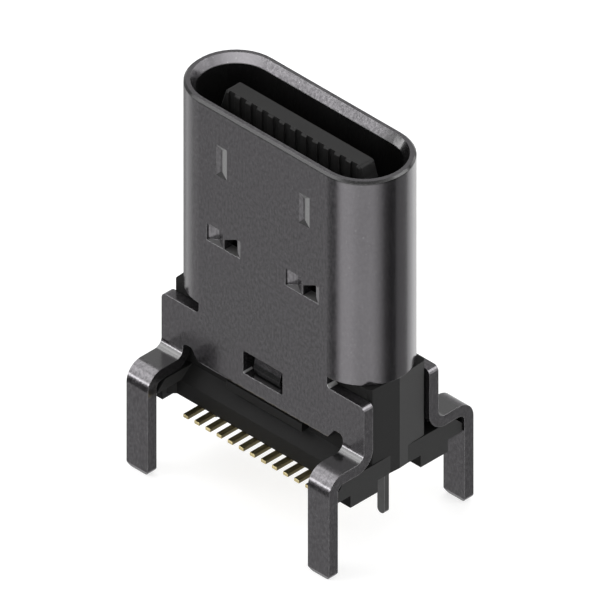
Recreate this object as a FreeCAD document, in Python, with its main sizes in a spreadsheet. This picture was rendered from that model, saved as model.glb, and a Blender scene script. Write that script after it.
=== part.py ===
import FreeCAD, Part
import math
import os

import Sketcher

# Upright 24-contact board socket with a round-ended mouth, in millimetres.
# +Z is the mating direction, X runs along the mouth and Y across it.
# The origin is the middle of the footprint, on the face of the board.

SIZES = [
    ("mouth_length", 8.34, "inside of the metal tube, along X"),
    ("mouth_height", 2.56, "inside of the metal tube, along Y"),
    ("wall", 0.40, "sheet thickness of the shell"),
    ("rim_height", 12.0, "rim of the mouth above the board"),
    ("flare_width", 0.19, "lead-in bevel of the mouth, across the wall"),
    ("flare_depth", 0.31, "lead-in bevel of the mouth, down the wall"),
    ("rim_edge", 0.07, "bevel of the outer edge of the rim"),
    ("end_foot", 4.07, "height where the round ends of the tube stop"),
    ("ear_top", 3.66, "top of the ears beside the tube"),
    ("ear_reach", 4.57, "outer edge of the ears and legs, from the middle"),
    ("ear_corner", 0.20, "outer top corner of an ear"),
    ("slot_corner", 0.16, "corner of the slot between ear and tube"),
    ("plate_foot", 1.62, "lower edge of the flat sides"),
    ("plate_curl", 0.20, "rounding of that edge"),
    ("notch_top", 2.15, "top of the relief beside each leg"),
    ("notch_width", 0.39, "level top of that relief"),
    ("notch_slant", 0.39, "slanted side of that relief, along X"),
    ("notch_corner", 0.18, "rounded corner of that relief at the leg"),
    ("leg_width", 0.96, "width of a through-hole leg"),
    ("leg_spread", 3.26, "outer face of the legs, from the middle"),
    ("leg_shoulder", 1.60, "top of the level run of a leg"),
    ("leg_reach", 2.32, "length of a leg below the board's face"),
    ("leg_root_bend", 0.30, "hollow side of the bend at the plate"),
    ("leg_knee_bend", 0.25, "hollow side of the bend at the knee"),
    ("leg_corner", 0.22, "rounded corner at the tip of a leg"),
    ("leg_coin", 0.07, "coined bevel at the tip of a leg, into its thickness"),
    ("leg_coin_length", 0.16, "coined bevel at the tip of a leg, along it"),
    ("dimple_offset", 1.865, "middle of a grip dimple, from the middle"),
    ("dimple_level", 10.065, "middle of a grip dimple above the board"),
    ("dimple_width", 0.49, "grip dimple along X"),
    ("dimple_height", 1.17, "grip dimple along Z"),
    ("dimple_slope", 0.155, "run of the dimple's sloping ends"),
    ("dimple_left_slope", 0.16, "run of its left side"),
    ("dimple_right_slope", 0.26, "run of its right side"),
    ("dimple_depth", 0.06, "depth of the dimple's floor"),
    ("lance_offset", 1.775, "middle of a lanced spring, from the middle"),
    ("lance_level", 7.05, "middle of a lanced spring above the board"),
    ("lance_length", 1.53, "lanced opening along X"),
    ("lance_height", 0.66, "lanced opening along Z"),
    ("lance_step", 0.03, "run of the steep start of the fold"),
    ("lance_step_depth", 0.08, "depth of the steep start of the fold"),
    ("lance_ramp", 0.30, "run of the step and the ramp that lead in"),
    ("lance_depth", 0.28, "depth of the folded strip, under the wall's thickness"),
    ("lance_flank", 0.44, "run of the flank that leads back out"),
    ("lance_crest", 0.06, "width of the crest"),
    ("lance_bulge", 0.12, "how far the strip stands inside the tube"),
    ("lance_hook", 0.62, "depth of the hooked end"),
    ("lance_lean", 0.12, "how far the hooked end leans back"),
    ("lance_strip", 0.14, "thickness of the hooked end"),
    ("lance_bevel_run", 0.19, "bevel at the open end of the lance"),
    ("lance_bevel_depth", 0.055, "depth of that bevel"),
    ("lance_gusset", 0.27, "height of the slanted corner left in the open window"),
    ("latch_window_width", 1.78, "locking window along X"),
    ("latch_window_foot", 2.34, "lower edge of the locking window"),
    ("latch_window_top", 3.22, "upper edge of the locking window"),
    ("latch_width", 1.19, "locking tongue along X"),
    ("latch_window_corner", 0.08, "rounded corners of the locking window"),
    ("latch_sink", 0.32, "depth of the tongue's face at its root"),
    ("latch_crown", 0.16, "depth of the tongue's face at its crown"),
    ("latch_crown_level", 2.60, "height of the crown"),
    ("latch_tip_sink", 0.22, "depth of the tongue's face at its tip"),
    ("latch_sheet", 0.24, "thickness of the locking tongue"),
    ("latch_root", 0.32, "how far its pressed root reaches above the window"),
    ("latch_gap", 0.04, "gap under the tip of the tongue"),
    ("seam_width", 0.04, "seam down the middle of the back, where the sheet's ends meet"),
    ("seam_depth", 0.05, "depth of the seam"),
    ("fit", 0.02, "gap between pieces that slide together"),
    ("cavity_depth", 6.20, "floor of the mouth below the rim"),
    ("post_reach", 4.42, "side of the housing posts at their corners"),
    ("post_crown", 0.08, "how far the posts stand out at the middle"),
    ("post_corner", 0.15, "rounded corner of the posts"),
    ("base_reach", 4.475, "end of the housing base, from the middle"),
    ("base_foot", 0.47, "underside of the housing base"),
    ("base_rise", 0.05, "gap between the base and the level run of a leg"),
    ("base_spread", 2.83, "side of the base under the legs"),
    ("base_end_width", 0.47, "base ends and feet along X"),
    ("base_slab_width", 0.88, "wider slab on top of them, level with the skirt's top"),
    ("base_bevel", 0.34, "bevel of the base under the leg's knee"),
    ("skirt_spread", 1.77, "side of the skirt between the feet"),
    ("skirt_foot", 0.14, "lower edge of the skirt"),
    ("skirt_top", 0.75, "height where the skirt turns to its ledge"),
    ("skirt_ledge", 1.15, "height where the ledge meets the block"),
    ("skirt_wall", 0.30, "thickness of the skirt"),
    ("skirt_end", 3.50, "end of the hollow behind the skirt"),
    ("rib_spread", 1.62, "side of the rib that the shell's flat sides stand on"),
    ("rib_foot", 1.30, "underside of the rib"),
    ("rib_reach", 1.70, "end of the rib, from the middle"),
    ("skirt_web", 0.23, "slanted web in the corner between skirt and foot"),
    ("foot_inner", 0.97, "inner side of a foot"),
    ("foot_outer", 2.20, "outer side of a foot"),
    ("contact_pitch", 0.50, "spacing of the contacts"),
    ("contact_count", 12, "contacts in a row"),
    ("contact_sheet", 0.12, "thickness of a contact"),
    ("contact_inset", 0.22, "inner face of a contact, from the middle"),
    ("contact_width", 0.25, "contact on the tongue"),
    ("tail_width", 0.215, "solder tail"),
    ("tail_reach", 2.41, "end of a solder tail, from the middle"),
    ("tail_bend", 0.12, "hollow side of the bend at the tail"),
    ("contact_start", 0.98, "contact's end below the tip of the tongue"),
    ("groove_fit", 0.01, "side gap of a contact in its groove"),
    ("tip_notch", 0.07, "depth of the notches above the contacts"),
    ("tongue_sheet", 0.70, "thickness of the tongue"),
    ("tongue_width", 6.69, "width of the tongue"),
    ("tongue_tip_width", 6.06, "width of the tongue at its tip"),
    ("tongue_shoulder", 0.95, "length of the tapered tip"),
    ("tongue_below_rim", 0.32, "tip of the tongue below the rim"),
    ("tongue_corner", 0.16, "rounded corner of the tip"),
    ("tongue_edge", 0.07, "bevel along the edges of the tip"),
    ("root_thickness", 1.24, "thick root of the tongue"),
    ("root_width", 6.90, "width of the root"),
    ("root_step", 0.80, "height of the root above the cavity floor"),
    ("insert_width", 8.00, "widest part of the insert, inside the base"),
    ("insert_shoulder", 3.60, "height of its shoulder"),
    ("collar_sheet", 0.10, "thickness of a grounding collar"),
    ("collar_width", 6.40, "grounding collar along X"),
    ("collar_seat", 0.60, "depth of the collar's seat in the housing"),
    ("collar_clear", 0.04, "gap between collar and tongue"),
    ("mid_sheet", 0.20, "thickness of the middle plate"),
    ("mid_below_tip", 0.46, "top of the middle plate below the tip"),
    ("mid_taper", 0.70, "tapered top of the middle plate, down"),
    ("mid_tip_width", 5.30, "middle plate at its top"),
    ("catch_start", 2.30, "latch notch below the tip of the tongue"),
    ("catch_length", 1.10, "latch notch along Z"),
    ("catch_depth", 0.34, "latch notch into the edge"),
    ("catch_clear", 0.06, "plastic kept back from the notch"),
    ("blade_offset", 3.75, "middle of a grounding blade"),
    ("blade_width", 0.33, "grounding blade along X"),
    ("blade_reach", 1.60, "grounding blade below the board's face"),
    ("blade_corner", 0.16, "rounded corner of a blade's tip"),
    ("blade_root", 1.40, "height where the blades branch off"),
    ("bond_hole", 0.35, "radius of the moulding holes"),
    ("bond_offset", 1.80, "middle of a moulding hole"),
    ("bond_level", 4.40, "height of the moulding holes"),
]

doc = FreeCAD.newDocument("board_socket")
sheet = doc.addObject("Spreadsheet::Sheet", "sizes")


def fill_sheet():
    """Write each driving dimension, its alias and what it measures."""
    for row, (alias, value, note) in enumerate(SIZES, start=1):
        sheet.set(f"A{row}", alias)
        sheet.set(f"B{row}", str(value))
        sheet.set(f"C{row}", note)
        sheet.setAlias(f"B{row}", alias)
    doc.recompute()


def bound(expression):
    """Turn the sheet's aliases in an expression into references to the sheet."""
    words = expression
    for mark in "()+-*/,":
        words = words.replace(mark, f" {mark} ")
    return " ".join(f"sizes.{word}" if word[0].isalpha() else word for word in words.split())


def size(expression):
    """Value of an expression of the sheet's aliases, in millimetres."""
    return float(sheet.evalExpression(bound(expression)))


def new_body(node):
    """Body of one piece, labelled with the name of its file."""
    body = doc.addObject("PartDesign::Body", node)
    body.Label = node
    return body


def origin_feature(body, role):
    """One of the body's own origin planes or axes."""
    return next(item for item in body.Origin.OriginFeatures if item.Role == role)


def new_sketch(body, name, plane, lift="0"):
    """Empty sketch on an origin plane of the body, raised along the plane's normal."""
    sketch = body.newObject("Sketcher::SketchObject", name)
    sketch.AttachmentSupport = [(origin_feature(body, plane), "")]
    sketch.MapMode = "FlatFace"
    sketch.setExpression("AttachmentOffset.Base.z", bound(lift))
    return sketch


def pin(sketch, geometry, position, across, up):
    """Tie a point of the sketch to two expressions measured from the origin."""
    for kind, expression in (("DistanceX", across), ("DistanceY", up)):
        rule = Sketcher.Constraint(kind, -1, 1, geometry, position, size(expression))
        index = sketch.addConstraint(rule)
        sketch.setExpression(f"Constraints[{index}]", bound(expression))


def corner_arc(before, corner, after, radius):
    """Both ends and the circle of the arc that rounds a corner."""
    back = (before - corner).normalize()
    ahead = (after - corner).normalize()
    half_turn = back.getAngle(ahead) / 2
    start = corner + back * (radius / math.tan(half_turn))
    end = corner + ahead * (radius / math.tan(half_turn))
    centre = corner + (back + ahead).normalize() * (radius / math.sin(half_turn))
    return start, end, centre


def outline(sketch, corners):
    """Closed outline through corners of (across, up) or (across, up, radius)."""
    points = [FreeCAD.Vector(size(corner[0]), size(corner[1]), 0) for corner in corners]
    count = len(points)
    rounds = {}
    for index, corner in enumerate(corners):
        if len(corner) == 3:
            rounds[index] = corner_arc(points[index - 1], points[index],
                                       points[(index + 1) % count], size(corner[2]))
    lines = []
    for index, point in enumerate(points):
        following = (index + 1) % count
        start = rounds[index][1] if index in rounds else point
        end = rounds[following][0] if following in rounds else points[following]
        lines.append(sketch.addGeometry(Part.LineSegment(start, end), False))
    for index, corner in enumerate(corners):
        if index in rounds:
            round_corner(sketch, corner, lines[index - 1], lines[index], rounds[index])
        else:
            joined = Sketcher.Constraint("Coincident", lines[index - 1], 2, lines[index], 1)
            sketch.addConstraint(joined)
            pin(sketch, lines[index], 1, corner[0], corner[1])


def round_corner(sketch, corner, line_in, line_out, arc_data):
    """Arc tangent to both lines, which aim at the pinned corner point."""
    start, end, centre = arc_data
    turn = (start - centre).cross(end - centre).z
    first, last = (start, end) if turn > 0 else (end, start)
    angles = [math.atan2(point.y - centre.y, point.x - centre.x) for point in (first, last)]
    circle = Part.Circle(centre, FreeCAD.Vector(0, 0, 1), size(corner[2]))
    arc = sketch.addGeometry(Part.ArcOfCircle(circle, angles[0], angles[1]), False)
    aim = FreeCAD.Vector(size(corner[0]), size(corner[1]), 0)
    tip = sketch.addGeometry(Part.Point(aim), True)
    arc_in, arc_out = (1, 2) if turn > 0 else (2, 1)
    sketch.addConstraint(Sketcher.Constraint("Tangent", line_in, 2, arc, arc_in))
    sketch.addConstraint(Sketcher.Constraint("Tangent", line_out, 1, arc, arc_out))
    sketch.addConstraint(Sketcher.Constraint("PointOnObject", tip, 1, line_in))
    sketch.addConstraint(Sketcher.Constraint("PointOnObject", tip, 1, line_out))
    radius = sketch.addConstraint(Sketcher.Constraint("Radius", arc, size(corner[2])))
    sketch.setExpression(f"Constraints[{radius}]", bound(corner[2]))
    pin(sketch, tip, 1, corner[0], corner[1])


def rectangle(sketch, left, right, low, high):
    """Rectangle between two expressions each way."""
    outline(sketch, [(left, low), (right, low), (right, high), (left, high)])


def circle(sketch, across, up, radius):
    """Circle with its centre and radius tied to the sheet."""
    centre = FreeCAD.Vector(size(across), size(up), 0)
    round_edge = Part.Circle(centre, FreeCAD.Vector(0, 0, 1), size(radius))
    geometry = sketch.addGeometry(round_edge, False)
    index = sketch.addConstraint(Sketcher.Constraint("Radius", geometry, size(radius)))
    sketch.setExpression(f"Constraints[{index}]", bound(radius))
    pin(sketch, geometry, 3, across, up)


def stadium(sketch, grow="0"):
    """Round-ended outline of the mouth, grown outwards by an expression."""
    centre = "(mouth_length - mouth_height) / 2"
    radius = f"mouth_height / 2 + {grow}"
    middle, reach = size(centre), size(radius)
    axis = FreeCAD.Vector(0, 0, 1)
    arcs = []
    for side, start in ((1, -math.pi / 2), (-1, math.pi / 2)):
        round_end = Part.Circle(FreeCAD.Vector(side * middle, 0, 0), axis, reach)
        arcs.append(sketch.addGeometry(Part.ArcOfCircle(round_end, start, start + math.pi), False))
    for side in (1, -1):
        near = FreeCAD.Vector(side * middle, side * reach, 0)
        far = FreeCAD.Vector(-side * middle, side * reach, 0)
        line = sketch.addGeometry(Part.LineSegment(near, far), False)
        first, second = (arcs[0], arcs[1]) if side == 1 else (arcs[1], arcs[0])
        sketch.addConstraint(Sketcher.Constraint("Tangent", first, 2, line, 1))
        sketch.addConstraint(Sketcher.Constraint("Tangent", line, 2, second, 1))
    pin(sketch, arcs[0], 3, centre, "0")
    pin(sketch, arcs[1], 3, f"0 - {centre}", "0")
    index = sketch.addConstraint(Sketcher.Constraint("Radius", arcs[0], reach))
    sketch.setExpression(f"Constraints[{index}]", bound(radius))


def pad(body, sketch, length, midplane=False, down=False):
    """Add material from a sketch, along its normal or evenly about its plane."""
    feature = body.newObject("PartDesign::Pad", sketch.Name + "_pad")
    feature.Profile = sketch
    feature.Midplane = midplane
    feature.Reversed = down
    feature.setExpression("Length", bound(length))
    doc.recompute()
    return feature


def pocket(body, sketch, length, midplane=False, up=False):
    """Remove material against the sketch's normal, or evenly about its plane."""
    before = body.Shape.Volume
    feature = body.newObject("PartDesign::Pocket", sketch.Name + "_cut")
    feature.Profile = sketch
    feature.Midplane = midplane
    feature.Reversed = up
    feature.setExpression("Length", bound(length))
    doc.recompute()
    if not body.Shape.Volume < before:
        raise RuntimeError(f"{feature.Name} removes nothing")
    return feature


def loft(body, kind, first, second):
    """Straight-sided loft between two sketches."""
    feature = body.newObject(f"PartDesign::{kind}", first.Name + "_loft")
    feature.Profile = first
    feature.Sections = [second]
    feature.Ruled = True
    doc.recompute()
    return feature


def mirror(body, features, plane, name):
    """Repeat features on the other side of an origin plane."""
    feature = body.newObject("PartDesign::Mirrored", name)
    feature.Originals = features
    feature.MirrorPlane = (origin_feature(body, plane), [""])
    body.Tip = feature
    doc.recompute()
    return feature


def turn_round(body, features, name):
    """Repeat features half a turn round the vertical axis."""
    feature = body.newObject("PartDesign::PolarPattern", name)
    feature.Originals = features
    feature.Axis = (origin_feature(body, "Z_Axis"), [""])
    feature.Angle = 360
    feature.Occurrences = 2
    body.Tip = feature
    doc.recompute()
    return feature


def row_along(body, features, axis, length, count, name):
    """Repeat features in an even row along an origin axis."""
    feature = body.newObject("PartDesign::LinearPattern", name)
    feature.Originals = features
    feature.Direction = (origin_feature(body, axis), [""])
    feature.setExpression("Length", bound(length))
    feature.setExpression("Occurrences", bound(count))
    body.Tip = feature
    doc.recompute()
    return feature


def dress_edges(body, kind, amount, chosen, name):
    """Fillet or chamfer every edge of the body that a test picks."""
    base = body.Tip
    names = [f"Edge{index}" for index, edge in enumerate(base.Shape.Edges, start=1)
             if chosen(edge)]
    if not names:
        raise RuntimeError(f"{name} finds no edge")
    feature = body.newObject(f"PartDesign::{kind}", name)
    feature.Base = (base, names)
    feature.setExpression("Radius" if kind == "Fillet" else "Size", bound(amount))
    doc.recompute()
    return feature


def near(first, second):
    """Whether two lengths agree to a hundredth of the finest gap."""
    return abs(first - second) < size("fit") / 100


def lies_at(edge, **places):
    """Whether an edge lies wholly at the named heights, whatever its sign."""
    box = edge.BoundBox
    limits = {"x": (box.XMin, box.XMax), "y": (box.YMin, box.YMax), "z": (box.ZMin, box.ZMax)}
    for axis, place in places.items():
        if not all(near(abs(limit), abs(place)) for limit in limits[axis]):
            return False
    return True


def build_shell_walls(body):
    """Tube with round ends over two flat sides with ears and leg reliefs."""
    tube = new_sketch(body, "tube", "XY_Plane", "end_foot")
    stadium(tube, "wall")
    pad(body, tube, "rim_height - end_foot")

    straight = "(mouth_length - mouth_height) / 2"
    right = [
        (straight, "end_foot"),
        (straight, "ear_top", "slot_corner"),
        ("ear_reach", "ear_top", "ear_corner"),
        ("ear_reach", "leg_shoulder + leg_root_bend"),
        ("ear_reach - leg_width", "leg_shoulder + leg_root_bend"),
        ("ear_reach - leg_width", "notch_top", "notch_corner"),
        ("ear_reach - leg_width - notch_width", "notch_top", "notch_corner / 2"),
        ("ear_reach - leg_width - notch_width - notch_slant", "plate_foot"),
    ]
    left = [(f"0 - ({corner[0]})",) + corner[1:] for corner in reversed(right)]
    sides = new_sketch(body, "flat_sides", "XZ_Plane")
    outline(sides, right + left)
    pad(body, sides, "mouth_height + 2 * wall", midplane=True)

    for name, side in (("right", ""), ("left", "0 - ")):
        leg = new_sketch(body, f"{name}_leg", "YZ_Plane",
                         f"{side}(ear_reach - leg_width / 2)")
        outline(leg, leg_profile())
        pad(body, leg, "leg_width", midplane=True)


def leg_profile():
    """Bent strip from the flat side, out over the base and down through the board."""
    face = "0 - mouth_height / 2 - wall"
    back = "0 - mouth_height / 2"
    run_foot = "leg_shoulder - wall"
    return [
        (back, "notch_top"),
        (face, "notch_top"),
        (face, "leg_shoulder", "leg_root_bend"),
        ("0 - leg_spread", "leg_shoulder", "leg_knee_bend + wall"),
        ("0 - leg_spread", "leg_coin_length - leg_reach"),
        ("leg_coin - leg_spread", "0 - leg_reach"),
        ("wall - leg_coin - leg_spread", "0 - leg_reach"),
        ("wall - leg_spread", "leg_coin_length - leg_reach"),
        ("wall - leg_spread", run_foot, "leg_knee_bend"),
        (back, run_foot, "leg_root_bend + wall"),
    ]


def hollow_shell(body):
    """Mouth with its lead-in bevel, and the open space between the flat sides."""
    between = new_sketch(body, "between_sides", "XY_Plane", "end_foot")
    rectangle(between, "0 - ear_reach - wall", "ear_reach + wall",
              "0 - mouth_height / 2", "mouth_height / 2")
    pocket(body, between, "end_foot + leg_reach")
    legs = [doc.getObject("right_leg_pad"), doc.getObject("left_leg_pad")]
    mirror(body, legs, "XZ_Plane", "back_legs")
    round_leg_tips(body)

    mouth = new_sketch(body, "mouth", "XY_Plane", "rim_height")
    stadium(mouth)
    pocket(body, mouth, "rim_height - end_foot")
    flare_top = new_sketch(body, "flare_top", "XY_Plane", "rim_height")
    stadium(flare_top, "flare_width")
    flare_foot = new_sketch(body, "flare_foot", "XY_Plane", "rim_height - flare_depth")
    stadium(flare_foot)
    loft(body, "SubtractiveLoft", flare_top, flare_foot)


def round_leg_tips(body):
    """Round both corners of each leg's tip by cutting away all that lies round it."""
    for name, side in (("right", ""), ("left", "0 - ")):
        outer = f"{side}ear_reach"
        inner = f"{side}(ear_reach - leg_width)"
        beyond = f"{side}(ear_reach + wall)"
        before = f"{side}(ear_reach - leg_width - wall)"
        tip = "0 - leg_reach"
        top = f"{tip} + 2 * leg_corner"
        trim = new_sketch(body, f"{name}_tip_trim", "XZ_Plane")
        outline(trim, [
            (before, f"{tip} - wall"), (beyond, f"{tip} - wall"), (beyond, top), (outer, top),
            (outer, tip, "leg_corner"), (inner, tip, "leg_corner"), (inner, top), (before, top),
        ])
        pocket(body, trim, "2 * (leg_spread + wall)", midplane=True)


def press_dimples(body):
    """Shallow grip dimples near the rim, pressed in from the outside."""
    pressed = []
    for name, centre in (("right", "dimple_offset"), ("left", "0 - dimple_offset")):
        for kind, face in (("Subtractive", "mouth_height / 2 + wall"),
                           ("Additive", "mouth_height / 2")):
            rings = []
            for part, lift, inset in (("edge", face, 0), ("floor", f"{face} - dimple_depth", 1)):
                ring = new_sketch(body, f"{name}_{kind}_{part}", "XZ_Plane", lift)
                rise = f"(dimple_height / 2 - {inset} * dimple_slope)"
                rectangle(ring, f"{centre} - dimple_width / 2 + {inset} * dimple_left_slope",
                          f"{centre} + dimple_width / 2 - {inset} * dimple_right_slope",
                          f"dimple_level - {rise}", f"dimple_level + {rise}")
                rings.append(ring)
            pressed.append(loft(body, f"{kind}Loft", rings[0], rings[1]))
    mirror(body, pressed, "XZ_Plane", "back_dimples")


def fold_springs(body):
    """Lanced springs: a strip folded in and out, and a window with a hooked end."""
    made = []
    foot = "lance_level - lance_height / 2"
    face = "0 - mouth_height / 2 - wall"
    inner = "0 - mouth_height / 2"
    for name, centre in (("left", "0 - lance_offset"), ("right", "lance_offset")):
        start = f"({centre} - lance_length / 2)"
        end = f"({centre} + lance_length / 2)"
        turn = f"({start} + lance_ramp)"
        crest = f"({turn} + lance_flank)"
        edge = f"({crest} + lance_crest)"

        fold = new_sketch(body, f"{name}_fold", "XY_Plane", foot)
        outline(fold, [(start, face), (f"{start} + lance_step", f"{face} + lance_step_depth"),
                       (turn, f"{face} + lance_depth"), (crest, face),
                       (crest, f"{face} - wall"), (start, f"{face} - wall")])
        made.append(pocket(body, fold, "lance_height", up=True))

        window = new_sketch(body, f"{name}_lance_window", "XY_Plane", foot)
        bevel = f"{end} - lance_bevel_run"
        outline(window, [(edge, f"{face} - wall"), (end, f"{face} - wall"), (end, face),
                         (bevel, f"{face} + lance_bevel_depth"),
                         (bevel, f"{inner} + wall"), (edge, f"{inner} + wall")])
        made.append(pocket(body, window, "lance_height", up=True))

        bulge = new_sketch(body, f"{name}_bulge", "XY_Plane", foot)
        outline(bulge, [(start, inner), (start, f"{inner} - wall / 4"),
                        (f"{edge} - lance_strip", f"{inner} - wall / 4"),
                        (f"{edge} - lance_strip", inner), (turn, f"{inner} + lance_bulge")])
        made.append(pad(body, bulge, "lance_height"))

        gusset = new_sketch(body, f"{name}_gusset", "XZ_Plane", "mouth_height / 2")
        top = "lance_level + lance_height / 2"
        outline(gusset, [(edge, top), (edge, f"{top} - lance_gusset"), (bevel, top)])
        made.append(pad(body, gusset, "wall"))

        hook = new_sketch(body, f"{name}_hook", "XY_Plane", foot)
        tip = f"{face} + lance_hook"
        outline(hook, [(edge, face), (f"{edge} - lance_lean", tip),
                       (f"{edge} - lance_lean - lance_strip", tip),
                       (f"{edge} - lance_strip", f"{face} + lance_strip / 2")])
        made.append(pad(body, hook, "lance_height"))
    turn_round(body, made, "back_springs")


def cut_latches(body):
    """Locking window in each flat side, with a pressed tongue that hangs in it."""
    window = new_sketch(body, "latch_window", "XZ_Plane", "mouth_height / 2 + 2 * wall")
    outline(window, [
        ("0 - latch_window_width / 2", "latch_window_foot", "latch_window_corner"),
        ("latch_window_width / 2", "latch_window_foot", "latch_window_corner"),
        ("latch_window_width / 2", "latch_window_top", "latch_window_corner"),
        ("0 - latch_window_width / 2", "latch_window_top", "latch_window_corner"),
    ])
    opening = pocket(body, window, "3 * wall")
    face = "0 - mouth_height / 2 - wall"
    tongue = new_sketch(body, "latch_tongue", "YZ_Plane")
    tip = "latch_window_foot + latch_gap"
    root = "latch_window_top + latch_root"
    outline(tongue, [
        (f"{face} + latch_sink", "latch_window_top"),
        (f"{face} + latch_crown", "latch_crown_level"),
        (f"{face} + latch_tip_sink", tip),
        (f"{face} + latch_tip_sink + latch_sheet", tip),
        (f"{face} + latch_crown + latch_sheet", "latch_crown_level"),
        (f"{face} + latch_sink + latch_sheet", "latch_window_top"),
        (f"{face} + latch_sink + latch_sheet", f"{root} - latch_sheet"),
        (f"{face} + latch_sink", root),
    ])
    hanging = pad(body, tongue, "latch_width", midplane=True)
    mirror(body, [opening, hanging], "XZ_Plane", "back_latches")


def finish_shell(body):
    """Bevelled rim, curled lower edges of the flat sides, and the seam at the back."""
    rim, foot = size("rim_height"), size("plate_foot")
    side = size("mouth_height / 2 + wall")
    flare_end = size("mouth_length / 2 + flare_width")

    def outer_rim(edge):
        box = edge.BoundBox
        return near(box.ZMin, rim) and near(box.ZMax, rim) and (
            lies_at(edge, y=side) or box.XMax > flare_end or box.XMin < -flare_end)

    def plate_edge(edge):
        return lies_at(edge, y=side, z=foot) and edge.Length > size("leg_width")

    dress_edges(body, "Chamfer", "rim_edge", outer_rim, "bevelled_rim")
    dress_edges(body, "Fillet", "plate_curl", plate_edge, "curled_edges")
    seam = new_sketch(body, "seam", "XY_Plane", "rim_height")
    rectangle(seam, "0 - seam_width / 2", "seam_width / 2",
              "mouth_height / 2 + wall - seam_depth", "mouth_height / 2 + 2 * wall")
    pocket(body, seam, "rim_height - latch_window_top")


def build_shell():
    """One-piece stamped and folded metal shell."""
    body = new_body("shell")
    build_shell_walls(body)
    hollow_shell(body)
    press_dimples(body)
    fold_springs(body)
    cut_latches(body)
    finish_shell(body)
    return body


def build_housing_base(body):
    """Base slab, the skirt between its ends, the block inside the shell and its rib."""
    block_y = "mouth_height / 2 - fit"
    block_top = "end_foot - fit"
    block = new_sketch(body, "block", "XY_Plane", "base_foot")
    outline(block, [
        ("0 - post_reach", f"0 - ({block_y})", "post_corner"),
        ("post_reach", f"0 - ({block_y})", "post_corner"),
        ("post_reach + post_crown", "0"),
        ("post_reach", block_y, "post_corner"),
        ("0 - post_reach", block_y, "post_corner"),
        ("0 - post_reach - post_crown", "0"),
    ])
    pad(body, block, f"{block_top} - base_foot")
    neck = new_sketch(body, "neck", "XY_Plane", block_top)
    stadium(neck, "(0 - fit)")
    pad(body, neck, f"rim_height - cavity_depth - ({block_top})")

    slab_top = "leg_shoulder - wall - base_rise"
    for name, side in (("right", ""), ("left", "0 - ")):
        for part, width, foot in (("slab", "base_slab_width", "skirt_top"),
                                  ("end", "base_end_width", "base_foot")):
            slab = new_sketch(body, f"{name}_{part}", "XY_Plane", foot)
            inner = f"{side}(base_reach - {width})"
            outer = f"{side}base_reach"
            outline(slab, [(inner, "0 - base_spread"), (outer, "0 - base_spread"),
                           (outer, "base_spread"), (inner, "base_spread")])
            pad(body, slab, f"{slab_top} - {foot}")

    skirt = new_sketch(body, "skirt", "YZ_Plane")
    outline(skirt, [
        ("0 - skirt_spread", "skirt_foot"),
        ("skirt_spread", "skirt_foot"),
        ("skirt_spread", "skirt_top"),
        (block_y, "skirt_ledge"),
        (f"0 - ({block_y})", "skirt_ledge"),
        ("0 - skirt_spread", "skirt_top"),
    ])
    pad(body, skirt, "2 * (base_reach - base_end_width)", midplane=True)
    rib = new_sketch(body, "rib", "YZ_Plane")
    rectangle(rib, "0 - rib_spread", "rib_spread", "rib_foot", "plate_foot - fit")
    pad(body, rib, "2 * rib_reach", midplane=True)


def build_feet(body):
    """Four feet that stand on the board, and the webs between them and the skirt."""
    inner = "base_reach - base_end_width"
    for name, side in (("right", ""), ("left", "0 - ")):
        for row, across in (("front", "0 - "), ("back", "")):
            foot = new_sketch(body, f"{name}_{row}_foot", "XY_Plane")
            outline(foot, [
                (f"{side}({inner})", f"{across}foot_inner"),
                (f"{side}base_reach", f"{across}foot_inner"),
                (f"{side}base_reach", f"{across}foot_outer"),
                (f"{side}({inner})", f"{across}foot_outer"),
            ])
            pad(body, foot, "base_foot")
            web = new_sketch(body, f"{name}_{row}_web", "XY_Plane", "skirt_foot")
            outline(web, [
                (f"{side}({inner})", f"{across}skirt_spread"),
                (f"{side}({inner} - skirt_web)", f"{across}skirt_spread"),
                (f"{side}({inner})", f"{across}(skirt_spread + skirt_web)"),
            ])
            pad(body, web, "skirt_top - skirt_foot")


def hollow_housing(body):
    """Hollow under the skirt, stepped shaft for the insert, collar seats, latch recesses."""
    hollow = new_sketch(body, "under_hollow", "XY_Plane")
    rectangle(hollow, "0 - skirt_end", "skirt_end",
              "skirt_wall - skirt_spread", "skirt_spread - skirt_wall")
    pocket(body, hollow, "base_foot", up=True)
    side = "(root_thickness / 2 + fit)"
    lower = new_sketch(body, "lower_shaft", "XY_Plane")
    rectangle(lower, "0 - insert_width / 2 - fit", "insert_width / 2 + fit",
              f"0 - {side}", side)
    pocket(body, lower, "insert_shoulder + fit", up=True)
    upper = new_sketch(body, "upper_shaft", "XY_Plane", "rim_height - cavity_depth")
    rectangle(upper, "0 - root_width / 2 - fit", "root_width / 2 + fit", f"0 - {side}", side)
    pocket(body, upper, "rim_height - cavity_depth - insert_shoulder")
    seat = new_sketch(body, "collar_seat_cut", "XY_Plane", "rim_height - cavity_depth")
    seat_side = "(root_thickness / 2 + collar_sheet + 2 * fit)"
    rectangle(seat, "0 - collar_width / 2 - fit", "collar_width / 2 + fit",
              f"0 - {seat_side}", seat_side)
    pocket(body, seat, "collar_seat")
    recess = new_sketch(body, "latch_recess", "XZ_Plane", "mouth_height / 2")
    rectangle(recess, "0 - latch_window_width / 2", "latch_window_width / 2",
              "latch_window_foot", "latch_window_top + latch_root + fit")
    sink = "latch_sink + latch_sheet + 2 * fit - wall"
    cut = pocket(body, recess, sink)
    mirror(body, [cut], "XZ_Plane", "back_recess")


def build_housing():
    """Moulded housing."""
    body = new_body("housing")
    build_housing_base(body)
    build_feet(body)
    hollow_housing(body)
    side = size("base_spread")
    top = size("leg_shoulder - wall - base_rise")
    dress_edges(body, "Chamfer", "base_bevel",
                lambda edge: lies_at(edge, y=side, z=top), "knee_bevels")
    return body


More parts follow.
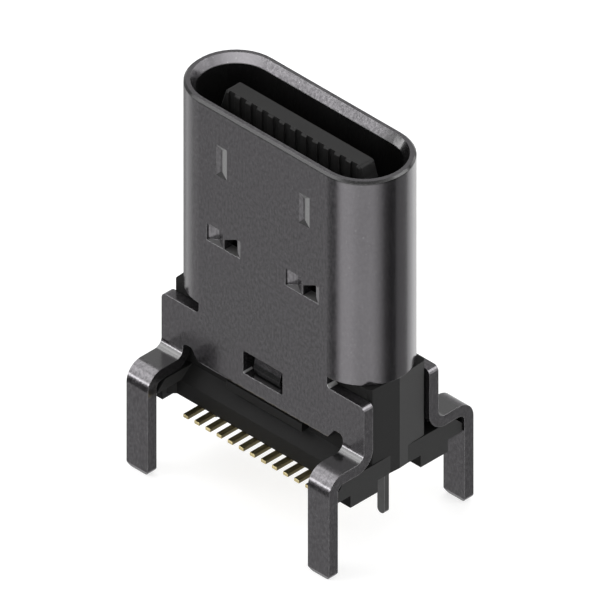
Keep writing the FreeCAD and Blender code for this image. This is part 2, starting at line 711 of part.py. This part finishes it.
def middle_plate_outline(sketch):
    """Plate inside the tongue: tapered top, latch notches, two blades, moulding holes."""
    tip = "(rim_height - tongue_below_rim)"
    top = f"{tip} - mid_below_tip"
    edge = "tongue_width / 2"
    notch_top = f"{tip} - catch_start"
    notch_foot = f"{notch_top} - catch_length"
    right = [
        ("mid_tip_width / 2", top),
        (edge, f"{top} - mid_taper"),
        (edge, notch_top),
        (f"{edge} - catch_depth", notch_top),
        (f"{edge} - catch_depth", notch_foot),
        (edge, notch_foot),
        (edge, "blade_root + blade_width"),
        ("blade_offset + blade_width / 2", "blade_root + blade_width"),
        ("blade_offset + blade_width / 2", "0 - blade_reach", "blade_corner"),
        ("blade_offset - blade_width / 2", "0 - blade_reach", "blade_corner"),
        ("blade_offset - blade_width / 2", "blade_root"),
    ]
    left = [(f"0 - ({corner[0]})",) + corner[1:] for corner in reversed(right)]
    outline(sketch, right + left)
    for side in ("", "0 - "):
        circle(sketch, f"{side}bond_offset", "bond_level", "bond_hole")


def build_middle_plate():
    """Stamped plate between the two rows, with the blades that ground it."""
    body = new_body("middle_plate")
    plate = new_sketch(body, "plate", "XZ_Plane")
    middle_plate_outline(plate)
    pad(body, plate, "mid_sheet", midplane=True)
    return body


def build_tongue():
    """Moulded insert: the thin tongue on its thick root, round both rows and the plate."""
    body = new_body("tongue")
    tip = "(rim_height - tongue_below_rim)"
    floor = "(rim_height - cavity_depth)"
    blade = new_sketch(body, "blade", "XZ_Plane")
    shoulder = f"{tip} - tongue_shoulder"
    outline(blade, [
        ("0 - tongue_width / 2", floor),
        ("tongue_width / 2", floor),
        ("tongue_width / 2", shoulder),
        ("tongue_tip_width / 2", tip, "tongue_corner"),
        ("0 - tongue_tip_width / 2", tip, "tongue_corner"),
        ("0 - tongue_width / 2", shoulder),
    ])
    pad(body, blade, "tongue_sheet", midplane=True)
    root = new_sketch(body, "root", "XZ_Plane")
    outline(root, [
        ("0 - insert_width / 2", "base_foot"),
        ("insert_width / 2", "base_foot"),
        ("insert_width / 2", "insert_shoulder"),
        ("root_width / 2", "insert_shoulder"),
        ("root_width / 2", f"{floor} + root_step"),
        ("0 - root_width / 2", f"{floor} + root_step"),
        ("0 - root_width / 2", "insert_shoulder"),
        ("0 - insert_width / 2", "insert_shoulder"),
    ])
    pad(body, root, "root_thickness", midplane=True)

    half = size("tongue_sheet / 2")
    low = size(shoulder)
    dress_edges(body, "Chamfer", "tongue_edge",
                lambda edge: edge.BoundBox.ZMin > low - size("fit") and lies_at(edge, y=half),
                "tip_bevel")
    cut_grooves(body, tip)
    for name, side in (("right", 1), ("left", -1)):
        catch = new_sketch(body, f"{name}_catch", "XZ_Plane")
        inner = "(tongue_width / 2 - catch_depth - catch_clear)"
        sides = [inner, "tongue_width / 2 + wall"]
        if side == -1:
            sides = [f"0 - ({sides[1]})", f"0 - {inner}"]
        rectangle(catch, sides[0], sides[1],
                  f"{tip} - catch_start - catch_length - catch_clear",
                  f"{tip} - catch_start + catch_clear")
        pocket(body, catch, "root_thickness", midplane=True)
    plate = new_sketch(body, "plate_space", "XZ_Plane")
    middle_plate_outline(plate)
    pocket(body, plate, "mid_sheet", midplane=True)
    return body


def cut_grooves(body, tip):
    """Contact grooves down through the root, and a shallow notch above each contact."""
    last = "(contact_count - 1) * contact_pitch"
    first = f"0 - {last} / 2"
    half = "(contact_width / 2 + groove_fit)"
    top = f"({tip} - contact_start + fit)"
    surface = "tongue_sheet / 2 + fit"
    for row, side in (("front", -1), ("back", 1)):
        made = []
        for kind, start, floor, length in (
                ("notch", tip, "tongue_sheet / 2 - tip_notch", "contact_start"),
                ("groove", top, "contact_inset", f"{top} - base_foot")):
            cut = new_sketch(body, f"{row}_{kind}", "XY_Plane", start)
            sides = [floor, surface] if side == 1 else [f"0 - ({surface})", f"0 - ({floor})"]
            rectangle(cut, f"{first} - {half}", f"{first} + {half}", sides[0], sides[1])
            made.append(pocket(body, cut, length))
        row_along(body, made, "X_Axis", last, "contact_count", f"{row}_grooves")


def build_contact(node, number, back):
    """Contact: a flat beam in its groove and a solder tail bent out over the board."""
    body = new_body(node)
    outer = "0 - contact_inset - contact_sheet"
    top = "rim_height - tongue_below_rim - contact_start"
    tail = new_sketch(body, f"{node}_bent", "YZ_Plane")
    outline(tail, [
        ("0 - contact_inset", top),
        (outer, top),
        (outer, "contact_sheet", "tail_bend"),
        ("0 - tail_reach", "contact_sheet"),
        ("0 - tail_reach", "0"),
        ("0 - contact_inset", "0", "tail_bend + contact_sheet"),
    ])
    pad(body, tail, "tail_width", midplane=True)
    beam = new_sketch(body, f"{node}_beam", "YZ_Plane")
    rectangle(beam, outer, "0 - contact_inset", "base_foot + contact_sheet", top)
    pad(body, beam, "contact_width", midplane=True)
    place = f"({number} - (contact_count - 1) / 2) * contact_pitch"
    if back:
        body.Placement.Rotation = FreeCAD.Rotation(FreeCAD.Vector(0, 0, 1), 180)
        place = f"0 - {place}"
    body.setExpression("Placement.Base.x", bound(place))
    return body


def build_collar(node, back):
    """Grounding collar: thin sheet seated beside the root and folded over its step."""
    body = new_body(node)
    inner = "0 - root_thickness / 2 - fit"
    outer = f"{inner} - collar_sheet"
    floor = "(rim_height - cavity_depth)"
    under = f"{floor} + root_step + fit"
    profile = new_sketch(body, f"{node}_profile", "YZ_Plane")
    lip = "0 - tongue_sheet / 2 - collar_clear"
    outline(profile, [
        (inner, f"{floor} - collar_seat + fit"),
        (inner, under),
        (lip, under),
        (lip, f"{under} + collar_sheet"),
        (outer, f"{under} + collar_sheet"),
        (outer, f"{floor} - collar_seat + fit"),
    ])
    pad(body, profile, "collar_width", midplane=True)
    if back:
        body.Placement.Rotation = FreeCAD.Rotation(FreeCAD.Vector(0, 0, 1), 180)
    return body


def check(pieces):
    """Stop if a feature failed or a piece is not one valid solid."""
    for item in doc.Objects:
        if {"Invalid", "Error"} & set(item.State):
            raise RuntimeError(f"{item.Name} did not build")
    for piece in pieces:
        shape = piece.Shape
        if shape.isNull() or not shape.isValid() or len(shape.Solids) != 1:
            raise RuntimeError(f"{piece.Label} is not one valid solid")


fill_sheet()
pieces = [build_shell(), build_housing(), build_tongue(), build_middle_plate()]
pieces += [build_collar("front_collar", False), build_collar("back_collar", True)]
for row_name, is_back in (("front", False), ("back", True)):
    for position in range(round(size("contact_count"))):
        label = f"{row_name}_contact_{position + 1:02d}"
        pieces.append(build_contact(label, position, is_back))
doc.recompute()
check(pieces)

os.makedirs("parts", exist_ok=True)
for piece in pieces:
    piece.Shape.exportStep(f"parts/{piece.Label}.step")
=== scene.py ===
import math
from functools import cached_property

import bpy
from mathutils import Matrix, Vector


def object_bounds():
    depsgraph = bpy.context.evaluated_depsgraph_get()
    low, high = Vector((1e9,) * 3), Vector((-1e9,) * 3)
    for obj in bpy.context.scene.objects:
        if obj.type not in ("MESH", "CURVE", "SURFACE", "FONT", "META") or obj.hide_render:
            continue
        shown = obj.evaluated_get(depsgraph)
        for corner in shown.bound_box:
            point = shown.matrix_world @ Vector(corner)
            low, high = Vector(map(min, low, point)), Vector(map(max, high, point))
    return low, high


# Upright board socket in a dark satin nickel shell, on a white studio floor.
# The scene is in metres; the finishes work in millimetres of the object's own coordinates.

MM = 0.001
X, Y, Z = range(3)

# Studio: floor, white glow of the floor, light of the room, camera, cards and lamps.
FLOOR_RADIUS = 0.45
FLOOR_GLOW = 0.72
ROOM_LIGHT = 0.45
VIEW_AZIMUTH = 45
VIEW_ELEVATION = 35.264
VIEW_CENTRE = Vector((0, 0, 4.79 * MM))
VIEW_WIDTH = 19.14 * MM
VIEW_DISTANCE = 0.2
CARD_DISTANCE = 0.3
CARD_STEP = 5.0
LAMP_DISTANCE = 0.4
LAMP_POWER = 4.0

# How far an edge is rounded, and how squarely a face looks along an axis to count as square.
EDGE_RADIUS = 0.022 * MM
SQUARE = (0.9, 0.98)

# The shell's tube in millimetres: where its straight sides end along X, soft steps at its walls
# by the distance from its middle line, and soft steps along its height and along X.
ROUND_END = 2.89
INNER_WALL = (1.283, 1.3)
MOUTH_SLOPE = (1.5, 1.54)
OUTER_WALL = (1.545, 1.565)
TUBE_START = (3.4, 4.0)
SLOPE_START = (10.5, 11.2)
# painted shade on the mouth slope fades in along X between these places
SLOPE_FADE = (1.9, 3.1)
RIM_START = (11.86, 11.92)

# Places on the part: limits in millimetres along each axis, on both sides, and their blur.
DIMPLES = {X: (0, 2.15), Z: (9.4, 10.75)}
SPRINGS = {Z: (6.5, 7.5)}
DRAWN_ENDS = {X: (3.4, 5.0, 0.5), Z: (3.8, 20.0)}
LEG_SLOTS = {X: (0.8, 3.2), Z: (2.3, 3.9)}
LEG_ROOTS = {Y: (1.6, 2.5, 0.3), Z: (0, 1.9)}
LATCHES = {X: (0, 0.6), Y: (1.1, 1.55), Z: (2.2, 2.76, 0.02)}
HOUSING_ENDS = {X: (3.2, 5.0)}

# Darkest and lightest colour or grey of each finish.
NICKEL = ((0.0495, 0.0474, 0.0505, 1), (0.094, 0.0904, 0.0955, 1))
GOLD = ((0.44, 0.36, 0.17, 1), (0.78, 0.68, 0.4, 1))
GOLD_WORN = (0.85, 0.74, 0.42, 1)
# Cut side faces of the gold strip: partly bare metal, partly painted shade.
GOLD_SHEARED_AND_SHADE = (0.06, 0.05, 0.02, 1)
# Painted shade on the gold strip's up-facing tops.
GOLD_PAINTED_SHADE = (0.07, 0.06, 0.024, 1)
STEEL = (0.055, 0.1)
RESIN_HOUSING = (0.003, 0.0075)
RESIN_TONGUE = (0.007, 0.017)
# Painted light on the resin's side faces at the housing's ends, darker and lighter.
RESIN_PAINTED_LIGHT = (0.017, 0.044)

# Lamps: azimuth and elevation in degrees, width and height in metres, brightness.
LAMPS = {
    "key_lamp": (-42, 27, (0.26, 0.26), 3.0),
    "back_lamp": (225, 38, (0.4, 0.3), 1.8),
    "side_lamp": (120, 30, (0.2, 0.16), 3.0),
    "low_lamp": (92, 5, (0.2, 0.12), 2.6),
    "top_lamp": (0, 85, (0.3, 0.3), 1.2),
}

# Cards: stops along the azimuth and along the elevation, each an angle and its brightness.
UNDER_FLOOR = ((-62, 1), (-14, 1))
CARDS = {
    "left_low_card": (((-141, 0.26), (-115, 0.26), (-113, 0.55), (-97, 0.55), (-95, 1.2),
                       (-68, 1.2)), UNDER_FLOOR),
    "front_low_card": (((-68, 1), (-33, 1)), ((-62, 0.96), (-29, 0.96))),
    "right_low_card": (((-33, 0.3), (-21, 0.3), (-5, 2.9), (14, 3.0), (34, 2.35), (64, 2.4),
                        (78, 1.5), (92, 0.25), (104, 0.0), (118, 0.0), (121, 0.56),
                        (152, 0.66), (158, 1.7), (180, 1.9), (205, 1.1), (215, 1.0)),
                       UNDER_FLOOR),
    "front_card": (((-64, 1), (-24, 1)),
                   ((-29, 0.12), (-13, 0.12), (-7, 0.6), (2, 3.0), (3, 14.0), (11, 14.0),
                    (12, 3.6), (20, 3.5), (30, 4.9), (48, 6.8))),
    "left_high_card": (((-120, 5.0), (-55, 5.0)), ((48, 1), (74, 1))),
    "right_high_card": (((-24, 5.6), (20, 6.6), (68, 5.4), (116, 2.6)), ((10, 1), (48, 1))),
    "side_low_card": (((116, 2.8), (182, 3.8)), ((-13, 1), (20, 1))),
    "side_card": (((118, 8.0), (152, 8.0)), ((20, 1), (50, 1))),
}


def direction(azimuth, elevation):
    """Unit vector away from the object; azimuth runs from -Y toward +X."""
    turn, lift = math.radians(azimuth), math.radians(elevation)
    return Vector((math.sin(turn) * math.cos(lift), -math.cos(turn) * math.cos(lift),
                   math.sin(lift)))


def grey(value, warmth=0.0):
    """Grey colour, a little warmer or colder."""
    return (value * (1 + warmth), value, value * (1 - warmth), 1)


def pick(sockets, key):
    """Socket by its place in the list, or by its identifier."""
    if isinstance(key, int):
        return sockets[key]
    return next(socket for socket in sockets if socket.identifier == key)


class Signal:
    """Output of a shader node; arithmetic on it adds Math nodes."""

    def __init__(self, tree, socket):
        self.tree = tree
        self.socket = socket

    def calculate(self, operation, *values):
        """Result of one Math node."""
        return self.tree.node("ShaderNodeMath", {"operation": operation},
                              dict(enumerate(values)), 0)

    def __add__(self, other):
        return self.calculate("ADD", self, other)

    def __sub__(self, other):
        return self.calculate("SUBTRACT", self, other)

    def __rsub__(self, other):
        return self.calculate("SUBTRACT", other, self)

    def __mul__(self, other):
        return self.calculate("MULTIPLY", self, other)

    __radd__ = __add__
    __rmul__ = __mul__

    def size(self):
        """The value without its sign."""
        return self.calculate("ABSOLUTE", self)

    def between(self, low, high):
        """Soft step from 0 at low to 1 at high."""
        return self.tree.node("ShaderNodeMapRange", {"interpolation_type": "SMOOTHSTEP"},
                              {"Value": self, "From Min": low, "From Max": high}, "Result")


class Tree:
    """Node tree of one material or of the world."""

    def __init__(self, owner):
        owner.use_nodes = True
        self.nodes = owner.node_tree.nodes
        self.links = owner.node_tree.links
        self.nodes.clear()

    def node(self, kind, settings=None, inputs=None, output=None):
        """Node with its settings first, then its sockets' values or links."""
        made = self.nodes.new(kind)
        for name, value in (settings or {}).items():
            setattr(made, name, value)
        for key, value in (inputs or {}).items():
            socket = pick(made.inputs, key)
            if isinstance(value, Signal):
                self.links.new(value.socket, socket)
            else:
                socket.default_value = value
        return None if output is None else Signal(self, pick(made.outputs, output))

    def place(self, stretch):
        """Object coordinates in millimetres, stretched along the axes."""
        source = self.node("ShaderNodeTexCoord", output="Object")
        return self.node("ShaderNodeMapping", inputs={
            "Vector": source, "Scale": [factor / MM for factor in stretch]}, output="Vector")

    @cached_property
    def along(self):
        """Place on the part along X, Y and Z, in millimetres."""
        split = self.node("ShaderNodeSeparateXYZ", inputs={0: self.place((1, 1, 1))}, output=0)
        return [Signal(self, socket) for socket in split.socket.node.outputs]

    def noise(self, cells, stretch=(1, 1, 1), detail=4.0):
        """Cloudy pattern from 0 to 1 with a number of cells per millimetre."""
        return self.node("ShaderNodeTexNoise", inputs={
            "Vector": self.place(stretch), "Scale": cells, "Detail": detail,
            "Roughness": 0.55}, output=0)

    def pits(self, cells, size):
        """Round spots, 1 in their middle, on a number of cells per millimetre."""
        distance = self.node("ShaderNodeTexVoronoi", inputs={
            "Vector": self.place((1, 1, 1)), "Scale": cells}, output="Distance")
        return 1 - distance.between(size / 2, size)

    def tint(self, factor, first, second):
        """Colour that runs from the first to the second with a factor."""
        return self.node("ShaderNodeMix", {"data_type": "RGBA"}, {
            "Factor_Float": factor, "A_Color": first, "B_Color": second}, "Result_Color")

    def touch_up(self, colour, places):
        """Colour that turns to a grey of its own at each place, one after the other."""
        for mask, level in places:
            colour = self.tint(mask, colour, grey(level))
        return colour

    def facing(self, direct):
        """How squarely a face looks in a direction, -1 to 1."""
        normal = self.node("ShaderNodeNewGeometry", output="Normal")
        return self.node("ShaderNodeVectorMath", {"operation": "DOT_PRODUCT"},
                         {0: normal, 1: Vector(direct).normalized()}, "Value")

    def band(self, axis, low, high, blur=0.05):
        """1 between two distances in millimetres along an axis, whatever the side, 0 elsewhere."""
        reach = self.along[axis].size()
        return reach.between(low - blur, low) * (1 - reach.between(high, high + blur))

    def zone(self, limits):
        """1 within the limits along each axis that has them, 0 elsewhere."""
        return math.prod(self.band(axis, *reach) for axis, reach in limits.items())

    def side_faces(self):
        """1 on faces square to the X axis, 0 on all others."""
        return self.facing((1, 0, 0)).size().between(*SQUARE)

    def from_tube(self):
        """Distance in millimetres from the middle line of the shell's tube."""
        past_end = self.along[X].size() - ROUND_END
        past_end = past_end.calculate("MAXIMUM", past_end, 0.0)
        square = past_end * past_end + self.along[Y] * self.along[Y]
        return square.calculate("SQRT", square)

    def edges(self, radius):
        """Normal that rounds the edges off, and a mask that is 1 along them."""
        rounded = self.node("ShaderNodeBevel", {"samples": 6}, {"Radius": radius}, "Normal")
        true = self.node("ShaderNodeNewGeometry", output="Normal")
        likeness = self.node("ShaderNodeVectorMath", {"operation": "DOT_PRODUCT"},
                             {0: rounded, 1: true}, "Value")
        return rounded, (1 - likeness).between(0.03, 0.3)

    def bump(self, height, depth, normal):
        """Normal roughened by a height from 0 to 1 over a depth in millimetres."""
        return self.node("ShaderNodeBump", inputs={
            "Strength": 1.0, "Distance": depth * MM, "Height": height, "Normal": normal},
            output="Normal")

    def seen(self):
        """1 for what is seen straight, mirrored or through glass, 0 for light on the object."""
        kinds = ("Is Camera Ray", "Is Glossy Ray", "Is Transmission Ray")
        straight, mirrored, through = (self.node("ShaderNodeLightPath", output=kind)
                                       for kind in kinds)
        return straight + mirrored + through

    def surface(self, **sockets):
        """Principled surface as the material's result."""
        inputs = {name.replace("_", " "): value for name, value in sockets.items()}
        shader = self.node("ShaderNodeBsdfPrincipled", inputs=inputs, output="BSDF")
        self.node("ShaderNodeOutputMaterial", inputs={"Surface": shader})


def new_material(name):
    """Empty material and its tree."""
    material = bpy.data.materials.new(name)
    return material, Tree(material)


def pressed_places(tree):
    """Masks of what is pressed, lanced and bent in the shell, each 1 there and 0 elsewhere; the
    plating gets painted highlights and painted shade at them.
    """
    upward = tree.facing((0, 0, 1))
    dimples = tree.zone(DIMPLES)
    return {
        "spring cuts": upward.between(*SQUARE) * tree.zone(SPRINGS),
        "dimple walls": tree.facing((-1, 0, -1)).between(0.1, 0.16) * dimples,
        "dimple floors": upward.between(0.12, 0.2) * dimples,
        "dimple sides": tree.facing((1, 0, 0)).between(0.2, 0.3) * dimples,
        "root bends": upward.between(0.3, 0.7) * tree.zone(LEG_ROOTS),
        "slot corners": tree.facing((1, 0, 1)).between(0.8, 0.95) * tree.zone(LEG_SLOTS),
        "latches": tree.zone(LATCHES),
    }


def tube_places(tree):
    """Masks of the shell's rim, of its tube's inside and of the mouth slope's painted shade, each
    1 there and 0 elsewhere.
    """
    reach, height = tree.from_tube(), tree.along[Z]
    tilted = 1 - tree.facing((0, 0, 1)).between(*SQUARE)
    slope = height.between(*SLOPE_START) * tilted * (1 - reach.between(*MOUTH_SLOPE))
    return {
        "rim edge": reach.between(*OUTER_WALL) * height.between(*RIM_START) * tilted,
        "inside": (1 - reach.between(*INNER_WALL)) * height.between(*TUBE_START),
        # painted shade on the mouth slope, darker toward its +X end
        "slope end": tree.along[X].between(*SLOPE_FADE) * slope,
    }


def dark_nickel():
    """Satin dark nickel plating: drawn streaks, fine specks, edges rubbed brighter, painted
    highlights and shade.
    """
    material, tree = new_material("dark_nickel_plating")
    rounded, worn = tree.edges(EDGE_RADIUS)
    streaks = tree.noise(4.0, stretch=(1.6, 1.6, 0.16), detail=5.0)
    patches = tree.noise(0.55).between(0.3, 0.7)
    specks = tree.noise(12.5, stretch=(1, 1, 0.55), detail=2.0).between(0.3, 0.7)
    grains = tree.pits(7.0, size=0.16)
    pressed = pressed_places(tree)
    tube = tube_places(tree)
    drawn = tree.zone(DRAWN_ENDS)
    flecks = specks * (1 - 0.75 * drawn) + 0.37 * drawn
    plain = tree.tint(0.1 * streaks + 0.1 * patches + 0.8 * flecks, *NICKEL)
    colour = tree.touch_up(plain, (
        (0.6 * grains * specks, 0.18),
        (0.4 * worn, 0.24),
        # painted light: the springs' up-facing cut walls lightened, standing in for light they
        # don't get
        (0.8 * pressed["spring cuts"], 0.16),
        # painted highlight: the dimples' down-facing walls lightened, standing in for their
        # reflection
        (0.9 * pressed["dimple walls"], 0.16),
        # painted shade: the dimples' floors and side walls darkened
        (0.95 * pressed["dimple floors"] + 0.45 * pressed["dimple sides"], 0.01),
        # painted light: the bends at the legs' roots lightened and evened, standing in for
        # reflection the bend blocks
        (0.9 * pressed["root bends"], 0.075),
        # painted shade: the latch tabs inside their windows darkened
        (0.9 * pressed["latches"], 0.022),
        # painted highlight: the rounded inner corners of the leg slots made pale
        (0.9 * pressed["slot corners"], 0.6),
        (0.95 * tube["rim edge"], 0.02),
        (0.8 * tube["inside"], 0.024),
        # painted shade: the mouth slope darkened toward its +X end
        (0.9 * tube["slope end"], 0.016)))
    # less metallic at the spring cuts and slot corners, so that their painted light and painted
    # highlight show
    metal = 0.78 - 0.5 * (pressed["spring cuts"] + pressed["slot corners"])
    rough = 0.11 + 0.05 * (streaks + patches + specks) + 0.4 * pressed["dimple floors"]
    relief = (0.4 * specks + 0.35 * grains) * (1 - 0.8 * drawn) + 0.3 * streaks
    tree.surface(Base_Color=colour, Metallic=metal, Roughness=rough,
                 Normal=tree.bump(relief, 0.0015, rounded))
    return material


def moulded_resin(name, greys, gloss):
    """Matt black moulded resin with glass-fibre grain, faint flow marks and painted light on the
    side faces at its ends.
    """
    material, tree = new_material(name)
    rounded, worn = tree.edges(EDGE_RADIUS)
    flow = tree.noise(1.1, stretch=(1, 1, 0.5))
    grain = tree.noise(18.0, detail=3.0)
    fibres = tree.noise(9.0, stretch=(0.4, 1.5, 3.0), detail=2.0)
    dark, pale = (grey(level, warmth=0.01) for level in greys)
    plain = tree.tint(0.45 * flow + 0.35 * grain + 0.2 * fibres, dark, pale)
    # painted light: side faces at the housing's ends lightened, most where they face straight
    # along X
    turned = tree.facing((0, 1, 0)).between(-0.06, 0.06)
    painted_light_faces = tree.tint(turned, *map(grey, RESIN_PAINTED_LIGHT))
    with_painted_light = tree.tint(tree.side_faces() * tree.zone(HOUSING_ENDS), plain, painted_light_faces)
    colour = tree.tint(0.5 * worn, with_painted_light, grey(greys[1] * 1.8))
    rough = 0.42 + 0.16 * grain + 0.12 * flow
    tree.surface(Base_Color=colour, Metallic=0.0, Roughness=rough, Specular_IOR_Level=gloss,
                 Normal=tree.bump(0.6 * grain + 0.4 * fibres, 0.004, rounded))
    return material


def stamped_steel():
    """Bright stamped steel with brushing along its length."""
    material, tree = new_material("stamped_steel_sheet")
    rounded, worn = tree.edges(EDGE_RADIUS)
    brushed = tree.noise(14.0, stretch=(1, 1, 0.1), detail=3.0)
    clouds = tree.noise(0.9)
    plain = tree.tint(0.5 * brushed + 0.5 * clouds, *map(grey, STEEL))
    colour = tree.tint(0.6 * worn, plain, grey(0.2))
    rough = 0.24 + 0.12 * brushed + 0.1 * clouds
    tree.surface(Base_Color=colour, Metallic=1.0, Roughness=rough,
                 Normal=tree.bump(brushed, 0.0015, rounded))
    return material


def gold_plating():
    """Satin gold plating over a rolled strip, dark on its cut side faces, partly bare metal and
    partly painted shade, and painted shade on its tops.
    """
    material, tree = new_material("gold_plated_strip")
    rounded, worn = tree.edges(EDGE_RADIUS / 2)
    rolled = tree.noise(16.0, stretch=(1, 0.2, 0.2), detail=3.0)
    clouds = tree.noise(1.6)
    plain = tree.tint(0.5 * rolled + 0.5 * clouds, *GOLD)
    # cut side faces darkened: partly bare metal, partly painted shade
    sheared_and_shaded = tree.tint(0.85 * tree.side_faces(), plain, GOLD_SHEARED_AND_SHADE)
    # painted shade: up-facing tops darkened
    top = tree.facing((0, 0, 1)).between(0.8, 0.95) * (1 - 0.5 * rolled)
    shaded_tops = tree.tint(top, sheared_and_shaded, GOLD_PAINTED_SHADE)
    colour = tree.tint(0.5 * worn, shaded_tops, GOLD_WORN)
    rough = 0.22 + 0.1 * rolled + 0.1 * clouds
    tree.surface(Base_Color=colour, Metallic=1.0, Roughness=rough,
                 Normal=tree.bump(rolled, 0.0012, rounded))
    return material


def dress_nodes(nodes):
    """Give every piece its finish; all pieces not named here are gold contacts."""
    steel, gold = stamped_steel(), gold_plating()
    finishes = {
        "shell": dark_nickel(),
        "housing": moulded_resin("black_resin_housing", RESIN_HOUSING, gloss=0.08),
        "tongue": moulded_resin("black_resin_tongue", RESIN_TONGUE, gloss=0.13),
        "middle_plate": steel,
        "front_collar": steel,
        "back_collar": steel,
    }
    for name, piece in nodes.items():
        for slot in piece.material_slots:
            slot.material = finishes.get(name, gold)


def light_floor(height):
    """White floor that keeps a soft shadow."""
    material, tree = new_material("white_studio_floor")
    paint = tree.node("ShaderNodeBsdfDiffuse", inputs={"Color": grey(0.8)}, output="BSDF")
    pale = tree.node("ShaderNodeBsdfDiffuse", inputs={"Color": grey(0.4)}, output="BSDF")
    glow = tree.node("ShaderNodeEmission", inputs={"Color": grey(1), "Strength": FLOOR_GLOW},
                     output="Emission")
    bright = tree.node("ShaderNodeAddShader", inputs={0: pale, 1: glow}, output="Shader")
    both = tree.node("ShaderNodeMixShader", inputs={0: tree.seen(), 1: paint, 2: bright},
                     output="Shader")
    tree.node("ShaderNodeOutputMaterial", inputs={"Surface": both})
    bpy.ops.mesh.primitive_circle_add(vertices=64, radius=FLOOR_RADIUS, fill_type="NGON")
    floor = bpy.context.object
    floor.name = "studio_floor"
    floor.location.z = height
    floor.data.materials.append(material)
    floor.visible_glossy = False


def light_world():
    """White background; softer grey where it lights the object."""
    world = bpy.data.worlds.new("studio_world")
    bpy.context.scene.world = world
    tree = Tree(world)
    strength = ROOM_LIGHT + (1 - ROOM_LIGHT) * tree.seen()
    glow = tree.node("ShaderNodeBackground", inputs={"Color": grey(1), "Strength": strength},
                     output="Background")
    tree.node("ShaderNodeOutputWorld", inputs={"Surface": glow})


def aim(name, data, away, distance):
    """Lamp or camera at a distance from the object, turned to it."""
    holder = bpy.data.objects.new(name, data)
    holder.location = VIEW_CENTRE + away * distance
    holder.rotation_mode = "QUATERNION"
    holder.rotation_quaternion = away.to_track_quat("Z", "Y")
    bpy.context.collection.objects.link(holder)
    return holder


def softbox(name, azimuth, elevation, size, brightness):
    """Area lamp aimed at the object; what it mirrors there comes from the cards."""
    lamp = bpy.data.lights.new(name, "AREA")
    lamp.shape = "RECTANGLE"
    lamp.size, lamp.size_y = size
    lamp.energy = brightness * size[0] * size[1] * LAMP_POWER
    holder = aim(name, lamp, direction(azimuth, elevation), LAMP_DISTANCE)
    holder.visible_camera = False
    holder.visible_glossy = False


def spread(stops):
    """Angles with their brightness, filled in evenly between stops."""
    filled = [stops[0]]
    for (start, low), (end, high) in zip(stops, stops[1:]):
        steps = max(1, math.ceil((end - start) / CARD_STEP))
        filled += [(start + (end - start) * step / steps, low + (high - low) * step / steps)
                   for step in range(1, steps + 1)]
    return filled


def mirror_card(name, azimuths, elevations):
    """Card far round the object that is only mirrored, with its brightness on its points."""
    columns, rows = spread(azimuths), spread(elevations)
    points = [VIEW_CENTRE + direction(azimuth, elevation) * CARD_DISTANCE
              for elevation, _ in rows for azimuth, _ in columns]
    wide = len(columns)
    corners = [row * wide + column for row in range(len(rows) - 1)
               for column in range(wide - 1)]
    faces = [(corner, corner + 1, corner + wide + 1, corner + wide) for corner in corners]
    mesh = bpy.data.meshes.new(name)
    mesh.from_pydata(points, [], faces)
    glow = mesh.attributes.new("glow", "FLOAT", "POINT")
    glow.data.foreach_set("value", [row * column for _, row in rows for _, column in columns])
    material, tree = new_material(name)
    level = tree.node("ShaderNodeAttribute", {"attribute_name": "glow"}, output="Fac")
    light = tree.node("ShaderNodeEmission", inputs={"Color": level, "Strength": 1.0},
                      output="Emission")
    tree.node("ShaderNodeOutputMaterial", inputs={"Surface": light})
    mesh.materials.append(material)
    card = bpy.data.objects.new(name, mesh)
    bpy.context.collection.objects.link(card)
    for kind in ("camera", "diffuse", "shadow", "transmission"):
        setattr(card, f"visible_{kind}", False)


def light_object():
    """Soft lamps, and the cards that the plating mirrors."""
    for name, settings in LAMPS.items():
        softbox(name, *settings)
    for name, stops in CARDS.items():
        mirror_card(name, *stops)


def aim_camera():
    """Parallel camera at the photograph's angle."""
    camera = bpy.data.cameras.new("studio_camera")
    camera.type = "ORTHO"
    camera.ortho_scale = VIEW_WIDTH
    camera.clip_start = 0.001
    camera.clip_end = 2.0
    away = direction(VIEW_AZIMUTH, VIEW_ELEVATION)
    bpy.context.scene.camera = aim("studio_camera", camera, away, VIEW_DISTANCE)


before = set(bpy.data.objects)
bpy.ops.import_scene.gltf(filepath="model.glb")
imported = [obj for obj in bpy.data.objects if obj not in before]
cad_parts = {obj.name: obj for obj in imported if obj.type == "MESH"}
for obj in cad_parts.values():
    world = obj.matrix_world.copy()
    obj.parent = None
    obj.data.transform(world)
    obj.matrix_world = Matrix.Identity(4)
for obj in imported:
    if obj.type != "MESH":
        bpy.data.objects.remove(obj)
cad_box = [list(corner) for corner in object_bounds()]
dress_nodes(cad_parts)
light_floor(cad_box[0][2])
light_world()
light_object()
aim_camera()
bpy.context.scene.view_settings.view_transform = "Standard"
